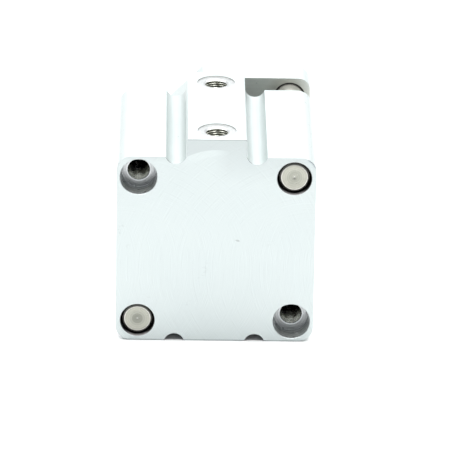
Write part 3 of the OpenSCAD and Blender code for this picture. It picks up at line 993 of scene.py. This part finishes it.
def make_guide_rod(node, x, z):
    """Ground rod with a turned and chamfered rear end and a centre mark."""
    rim = 0.55 * MM
    screw_r = 3 * MM
    face = GUIDE_START
    end = [
        (face + 0.36 * MM, 0), (face + 0.33 * MM, 0.30 * MM), (face + 0.22 * MM, 0.6 * MM),
        (face + 0.18 * MM, 0.9 * MM), (face + 0.11 * MM, 2.1 * MM), (face + 0.13 * MM, 2.3 * MM),
        (face + 0.05 * MM, 3.3 * MM), (face + 0.03 * MM, 3.5 * MM), (face, 4.6 * MM),
        (face, END_FLAT_R), (face + 0.05 * MM, END_RIM_R),
        (face + rim, GUIDE_R - 0.12 * MM), (face + rim * 1.5, GUIDE_R),
    ]
    tapped = PLATE_FRONT - 24 * MM
    stations = end + [
        (GUIDE_END - 0.3 * MM, GUIDE_R), (GUIDE_END, GUIDE_R - 0.3 * MM),
        (GUIDE_END, screw_r), (tapped, screw_r), (tapped - MM, 0),
    ]
    fit(turned(node + "_turned", stations, x, z), node, [GROUND, ROD_END],
        lambda centre, normal: ROD_END if centre.y < face + rim else GROUND)


def make_piston_rod():
    """Chromed rod with a rear spigot, a front pilot and a tapped hole at each end."""
    low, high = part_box("piston_rod")
    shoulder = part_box("piston")[1].y
    spigot = 7 * MM
    pilot = 6 * MM
    hole = 4 * MM
    rear_hole_end = low.y + 17 * MM
    front_hole_start = PLATE_FRONT - 25.5 * MM
    stations = [
        (rear_hole_end, 0), (rear_hole_end - MM, hole), (low.y, hole),
        (low.y, spigot - 0.3 * MM), (low.y + 0.3 * MM, spigot), (shoulder, spigot),
        (shoulder, ROD_R - 0.4 * MM), (shoulder + 0.4 * MM, ROD_R),
        (PLATE_Y - 0.3 * MM, ROD_R), (PLATE_Y, ROD_R - 0.3 * MM),
        (PLATE_Y, pilot), (high.y - 0.2 * MM, pilot), (high.y, pilot - 0.2 * MM),
        (high.y, hole), (front_hole_start + MM, hole), (front_hole_start, 0),
    ]
    fit(turned("piston_rod_turned", stations), "piston_rod", [CHROME])


def make_front_cover():
    """Cover disc with a nose, a hub with a rounded rim, and the bush and seal seats."""
    nose_r = BORE_R - 2 * MM
    hub_r = 18 * MM
    nose, hub = COVER_LOW.y, COVER_HIGH.y
    face = SEAT_Y + 7 * MM
    groove = (SEAT_Y + 1.9 * MM, SEAT_Y + 5.1 * MM)
    groove_r = COVER_R - 2.6 * MM
    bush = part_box("rod_bush")
    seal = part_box("rod_seal")
    lip = ROD_R + 0.6 * MM
    stations = [
        (nose, bush[1].x), (nose, nose_r - 0.5 * MM), (nose + 0.5 * MM, nose_r),
        (SEAT_Y, nose_r), (SEAT_Y, COVER_R),
        (groove[0], COVER_R), (groove[0], groove_r), (groove[1], groove_r), (groove[1], COVER_R),
        (face - 0.4 * MM, COVER_R), (face, COVER_R - 0.4 * MM),
        (face, hub_r + 1.2 * MM), (face + 0.35 * MM, hub_r + 0.35 * MM), (face + 1.2 * MM, hub_r),
        (hub - 0.5 * MM, hub_r), (hub, hub_r - 0.5 * MM),
        (hub, lip + 2.4 * MM), (hub - 0.35 * MM, lip + 2 * MM), (hub - 0.35 * MM, lip + 0.2 * MM),
        (hub - 0.6 * MM, lip), (seal[1].y, lip),
        (seal[1].y, seal[1].x), (seal[0].y, seal[1].x), (seal[0].y, lip),
        (bush[1].y, lip), (bush[1].y, bush[1].x),
    ]
    fit(turned("front_cover_turned", stations, segments=144, closed=True), "front_cover", [COVER])


def make_lip_seal(node):
    """Ring seal whose front face is hollowed to a wiping lip."""
    low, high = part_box(node)
    x, z = (low.x + high.x) / 2, (low.z + high.z) / 2
    outer = high.x - x
    inner = (ROD_R if node == "rod_seal" else GUIDE_R) + 0.03 * MM
    wall = outer - inner
    hollow = high.y - min(wall * 0.5, 1.2 * MM)
    stations = [
        (low.y, inner + wall * 0.15), (low.y, outer - wall * 0.05), (low.y + 0.2 * MM, outer),
        (high.y - 0.15 * MM, outer), (high.y, outer - wall * 0.12),
        (high.y, inner + wall * 0.62), (hollow, inner + wall * 0.45),
        (high.y - 0.1 * MM, inner + wall * 0.25), (high.y - 0.1 * MM, inner),
        (high.y - 0.9 * MM, inner + wall * 0.1), (low.y + 0.5 * MM, inner + wall * 0.1),
    ]
    fit(turned(node + "_lip", stations, x, z, closed=True), node, [BLACK_RUBBER])


def make_snap_ring():
    """Open retaining ring with two eyed ears and rounded stamped edges."""
    outer = RING_HIGH.x
    inner = SEAT_R - 3.5 * MM
    gap = 8 * MM
    ear_x, ear_r, eye_r = 10.5 * MM, 3.2 * MM, 1.1 * MM
    ear_z = -math.sqrt(inner ** 2 - ear_x ** 2)
    start = math.degrees(math.asin(gap / outer))
    end = math.degrees(math.asin(gap / inner))
    outline = arc(0, 0, outer, start - 90, 270 - start, 150)
    outline += arc(0, 0, inner, 270 - end, end - 90, 120)
    ring = prism("cover_snap_ring_stamped", outline, RING_LOW.y, RING_HIGH.y)
    ears = [prism("ear", arc(side * ear_x, ear_z, ear_r, 0, 350, 35), RING_LOW.y, RING_HIGH.y)
            for side in (-1, 1)]
    for ear in ears:
        join = ring.modifiers.new("ear", "BOOLEAN")
        join.operation = "UNION"
        join.solver = "EXACT"
        join.object = ear
    apply_modifiers(ring)
    for ear in ears:
        bpy.data.objects.remove(ear)
    eyes = [turned("eye", [(RING_LOW.y - OUT, 0), (RING_LOW.y - OUT, eye_r),
                           (RING_HIGH.y + OUT, eye_r), (RING_HIGH.y + OUT, 0)],
                   side * ear_x, ear_z, 32) for side in (-1, 1)]
    cut(ring, eyes)
    round_edges(ring, 0.15 * MM)
    fit(ring, "cover_snap_ring", [PHOSPHATED])


def plate_outline():
    """Square with round corners, two opposite corners cut back at 45 degrees."""
    inner = HALF - PLATE_CORNER
    short = PLATE_CUT - HALF
    upper = [(HALF, -short), *arc(inner, inner, PLATE_CORNER, 0, 90, 16), (-short, HALF)]
    return upper + [(-x, -z) for x, z in upper]


def blind_hole(radius, depth, x, z, thread=None):
    """Hole from the plate's front, with a drill point and, if asked, a thread."""
    top = PLATE_FRONT
    bottom = top - depth
    stations = [(top + OUT, 0), *mouth(top, radius + (thread[0] if thread else 0), -1)]
    if thread:
        stations += [(top - BREAK - thread[0], radius)]
        stations += threaded(top - BREAK - thread[0], bottom + MM, radius, thread)
    stations += [(bottom, radius), (bottom, 0)]
    return turned("blind_hole", stations, x, z, 48)


def screw_seat(head_r, head_t, shank_r, pilot_r, pilot_len, x, z):
    """Counterbore for a screw head, its clearance hole and the rod's pilot behind it."""
    seat = PLATE_FRONT - head_t
    stations = [
        (PLATE_FRONT + OUT, 0), *mouth(PLATE_FRONT, head_r, -1), (seat, head_r), (seat, shank_r),
        (PLATE_Y + pilot_len, shank_r), (PLATE_Y + pilot_len, pilot_r),
        (PLATE_Y + 0.5 * MM, pilot_r), (PLATE_Y - OUT, pilot_r + 0.5 * MM + OUT), (PLATE_Y - OUT, 0),
    ]
    return turned("screw_seat", stations, x, z, 80)


def plate_finish(centre, normal):
    """Which of PLATE_FINISHES a face of the jaw plate has."""
    inside = PLATE_Y + NEAR < centre.y < PLATE_FRONT - 0.05 * MM
    if inside and distance(centre, FINGER_AXES) < FINGER_R + 0.6 * MM:
        return TAPPED
    # Painted shadow in the rod pilot holes at the plate's rear.
    if inside and distance(centre, GUIDE_AXES) < GUIDE_R + MM and centre.y < PLATE_Y + MM:
        return HOLE_SHADOW
    on_side = abs(normal.y) < 0.8 and distance(centre, GUIDE_AXES + [(0, 0)]) > 8 * MM
    return EXTRUDED if on_side else PLATE


PLATE_FINISHES = [PLATE, TAPPED, EXTRUDED, HOLE_SHADOW]


def make_jaw_plate():
    plate = round_edges(prism("jaw_plate_milled", plate_outline(), PLATE_Y, PLATE_FRONT), 0.5 * MM)
    cutters = [blind_hole(FINGER_R, FINGER_DEPTH, x, z, M6_THREAD) for x, z in FINGER_AXES]
    for name in ("right_dowel_hole", "left_dowel_hole"):
        x, _, z = MOUNTS[name]["pos_m"]
        cutters.append(blind_hole(DOWEL_R, DOWEL_DEPTH, x, z))
    cutters.append(screw_seat(head_r=7 * MM, head_t=8.5 * MM, shank_r=4.4 * MM,
                              pilot_r=6 * MM, pilot_len=3 * MM, x=0, z=0))
    for x, z in GUIDE_AXES:
        cutters.append(screw_seat(head_r=5.5 * MM, head_t=6.5 * MM, shank_r=3.4 * MM,
                                  pilot_r=6 * MM, pilot_len=5 * MM, x=x, z=z))
    fit(cut(plate, cutters), "jaw_plate", PLATE_FINISHES, plate_finish)


def cap_screw(name, shank_r, head_r, head_t, hexagon, thread, seat, end, x, z):
    """Socket head cap screw along Y with a knurled head and a threaded shank."""
    top = seat + head_t
    knurls = 72
    stations = [(end, 0), (end, shank_r - 0.6 * MM)]
    stations += threaded(end + 0.4 * MM, seat - 3 * MM, shank_r, thread, inward=True)
    stations += [
        (seat - MM, shank_r), (seat, shank_r + 0.2 * MM), (seat, head_r - 0.3 * MM),
        (seat + 0.3 * MM, head_r), (top - 1.2 * MM, head_r), (top - 0.9 * MM, head_r - 0.12 * MM),
        (top - 0.3 * MM, head_r - 0.3 * MM), (top, head_r - 0.8 * MM), (top, 0),
    ]
    screw = turned(name, stations, x, z, knurls * 2)
    for v in screw.data.vertices:
        radial = Vector((v.co.x - x, 0, v.co.z - z))
        if seat + 0.2 * MM < v.co.y < top - MM and radial.length > head_r - 0.05 * MM:
            angle = math.atan2(radial.z, radial.x)
            if round(angle / TAU * knurls * 2) % 2:
                v.co -= radial.normalized() * 0.18 * MM
    across = hexagon / 2 / math.cos(math.radians(30))
    socket = turned("socket", [(top - head_t * 0.62, 0), (top - head_t * 0.5, across),
                               (top + OUT, across), (top + OUT, 0)], x, z, 6)
    return cut(screw, [socket])


def join(pieces, name):
    """Joins pieces into one object with one mesh."""
    bm = bmesh.new()
    for piece in pieces:
        bm.from_mesh(piece.data)
        bpy.data.objects.remove(piece)
    return link(name, bm)


def make_screws():
    low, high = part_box("piston_rod_screw")
    head_t = 8 * MM
    screw = cap_screw("piston_rod_screw_knurled", shank_r=4 * MM, head_r=high.x, head_t=head_t,
                      hexagon=6 * MM, thread=M8_THREAD, seat=high.y - head_t, end=low.y, x=0, z=0)
    fit(screw, "piston_rod_screw", [OXIDE])
    low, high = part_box("guide_rod_screws")
    head_t = 6 * MM
    pair = [cap_screw("screw", shank_r=3 * MM, head_r=5 * MM, head_t=head_t, hexagon=5 * MM,
                      thread=M6_THREAD, seat=high.y - head_t, end=low.y, x=x, z=z)
            for x, z in GUIDE_AXES]
    fit(join(pair, "guide_rod_screws_knurled"), "guide_rod_screws", [OXIDE])


make_housing()
make_guide_rod("upper_guide_rod", *GUIDE_AXES[0])
make_guide_rod("lower_guide_rod", *GUIDE_AXES[1])
make_piston_rod()
make_front_cover()
make_snap_ring()
make_jaw_plate()
make_screws()
for seal_node in ("rod_seal", "upper_wiper", "lower_wiper"):
    make_lip_seal(seal_node)

# CAD nodes that are shown with their own mesh, and their finishes
KEPT = {
    "cover_o_ring": BLACK_RUBBER, "rod_bush": BRONZE,
    "upper_rear_bush": BRONZE, "upper_front_bush": BRONZE,
    "lower_rear_bush": BRONZE, "lower_front_bush": BRONZE,
    "piston": PISTON, "piston_seal": BLACK_RUBBER, "piston_magnet": MAGNET,
    "piston_wear_ring": WEAR, "rear_bumper": GREEN_RUBBER, "front_bumper": GREEN_RUBBER,
    "piston_o_ring": BLACK_RUBBER, "piston_screw": OXIDE,
}
for kept_node, kept_finish in KEPT.items():
    kept = frame["nodes"][kept_node]
    kept.data.materials.clear()
    kept.data.materials.append(kept_finish)

# ---------- Stage ----------

scene = bpy.context.scene
scene.view_settings.view_transform = "Standard"


def make_floor():
    bm = bmesh.new()
    half = 3.0
    for x, y in ((-half, -half), (half, -half), (half, half), (-half, half)):
        bm.verts.new((x, y, cad_low.z))
    bm.faces.new(bm.verts)
    floor = link("floor", bm)
    f = Finish("pale_floor", (0.92, 0.92, 0.92), metallic=0, roughness=0.7)
    f.mottle(0.4, 0.1, (0.9, 0.9, 0.91))
    floor.data.materials.append(f.material)


def aim(thing, place, target, roll=0):
    """Puts a camera or light somewhere and turns it to a target."""
    thing.location = place
    look = (Vector(target) - Vector(place)).to_track_quat("-Z", "Y")
    thing.rotation_mode = "QUATERNION"
    thing.rotation_quaternion = look @ Matrix.Rotation(roll, 3, "Z").to_quaternion()


def softbox(name, place, target, size, watts):
    data = bpy.data.lights.new(name, "AREA")
    data.shape = "RECTANGLE"
    data.size, data.size_y = size
    data.energy = watts
    lamp = bpy.data.objects.new(name, data)
    scene.collection.objects.link(lamp)
    aim(lamp, place, target)


def make_world():
    world = bpy.data.worlds.new("studio")
    world.use_nodes = True
    background = world.node_tree.nodes["Background"]
    background.inputs["Color"].default_value = (0.95, 0.985, 1.0, 1)
    background.inputs["Strength"].default_value = 0.35
    scene.world = world


def make_camera():
    """Long lens from the rear, slightly left and above, as a catalogue picture."""
    elevation, azimuth, roll = math.radians(22.71), math.radians(1.10), math.radians(1.07)
    distance_to_aim = 1.652
    target = Vector((8.45, 0, 5.26)) * MM
    back = Vector((-math.sin(azimuth) * math.cos(elevation),
                   -math.cos(azimuth) * math.cos(elevation), math.sin(elevation)))
    data = bpy.data.cameras.new("camera")
    data.sensor_width = 36
    data.lens = 323.8
    data.clip_start, data.clip_end = 0.05, 20
    camera = bpy.data.objects.new("camera", data)
    scene.collection.objects.link(camera)
    aim(camera, target + back * distance_to_aim, target, roll)
    scene.camera = camera


make_floor()
make_world()
make_camera()
softbox("top_softbox", place=(0.0, 0.15, 1.1), target=(0, 0.05, 0), size=(2.0, 1.6), watts=42)
softbox("back_softbox", place=(0.0, 1.3, 0.55), target=(0, 0, 0.05), size=(2.4, 1.1), watts=5)
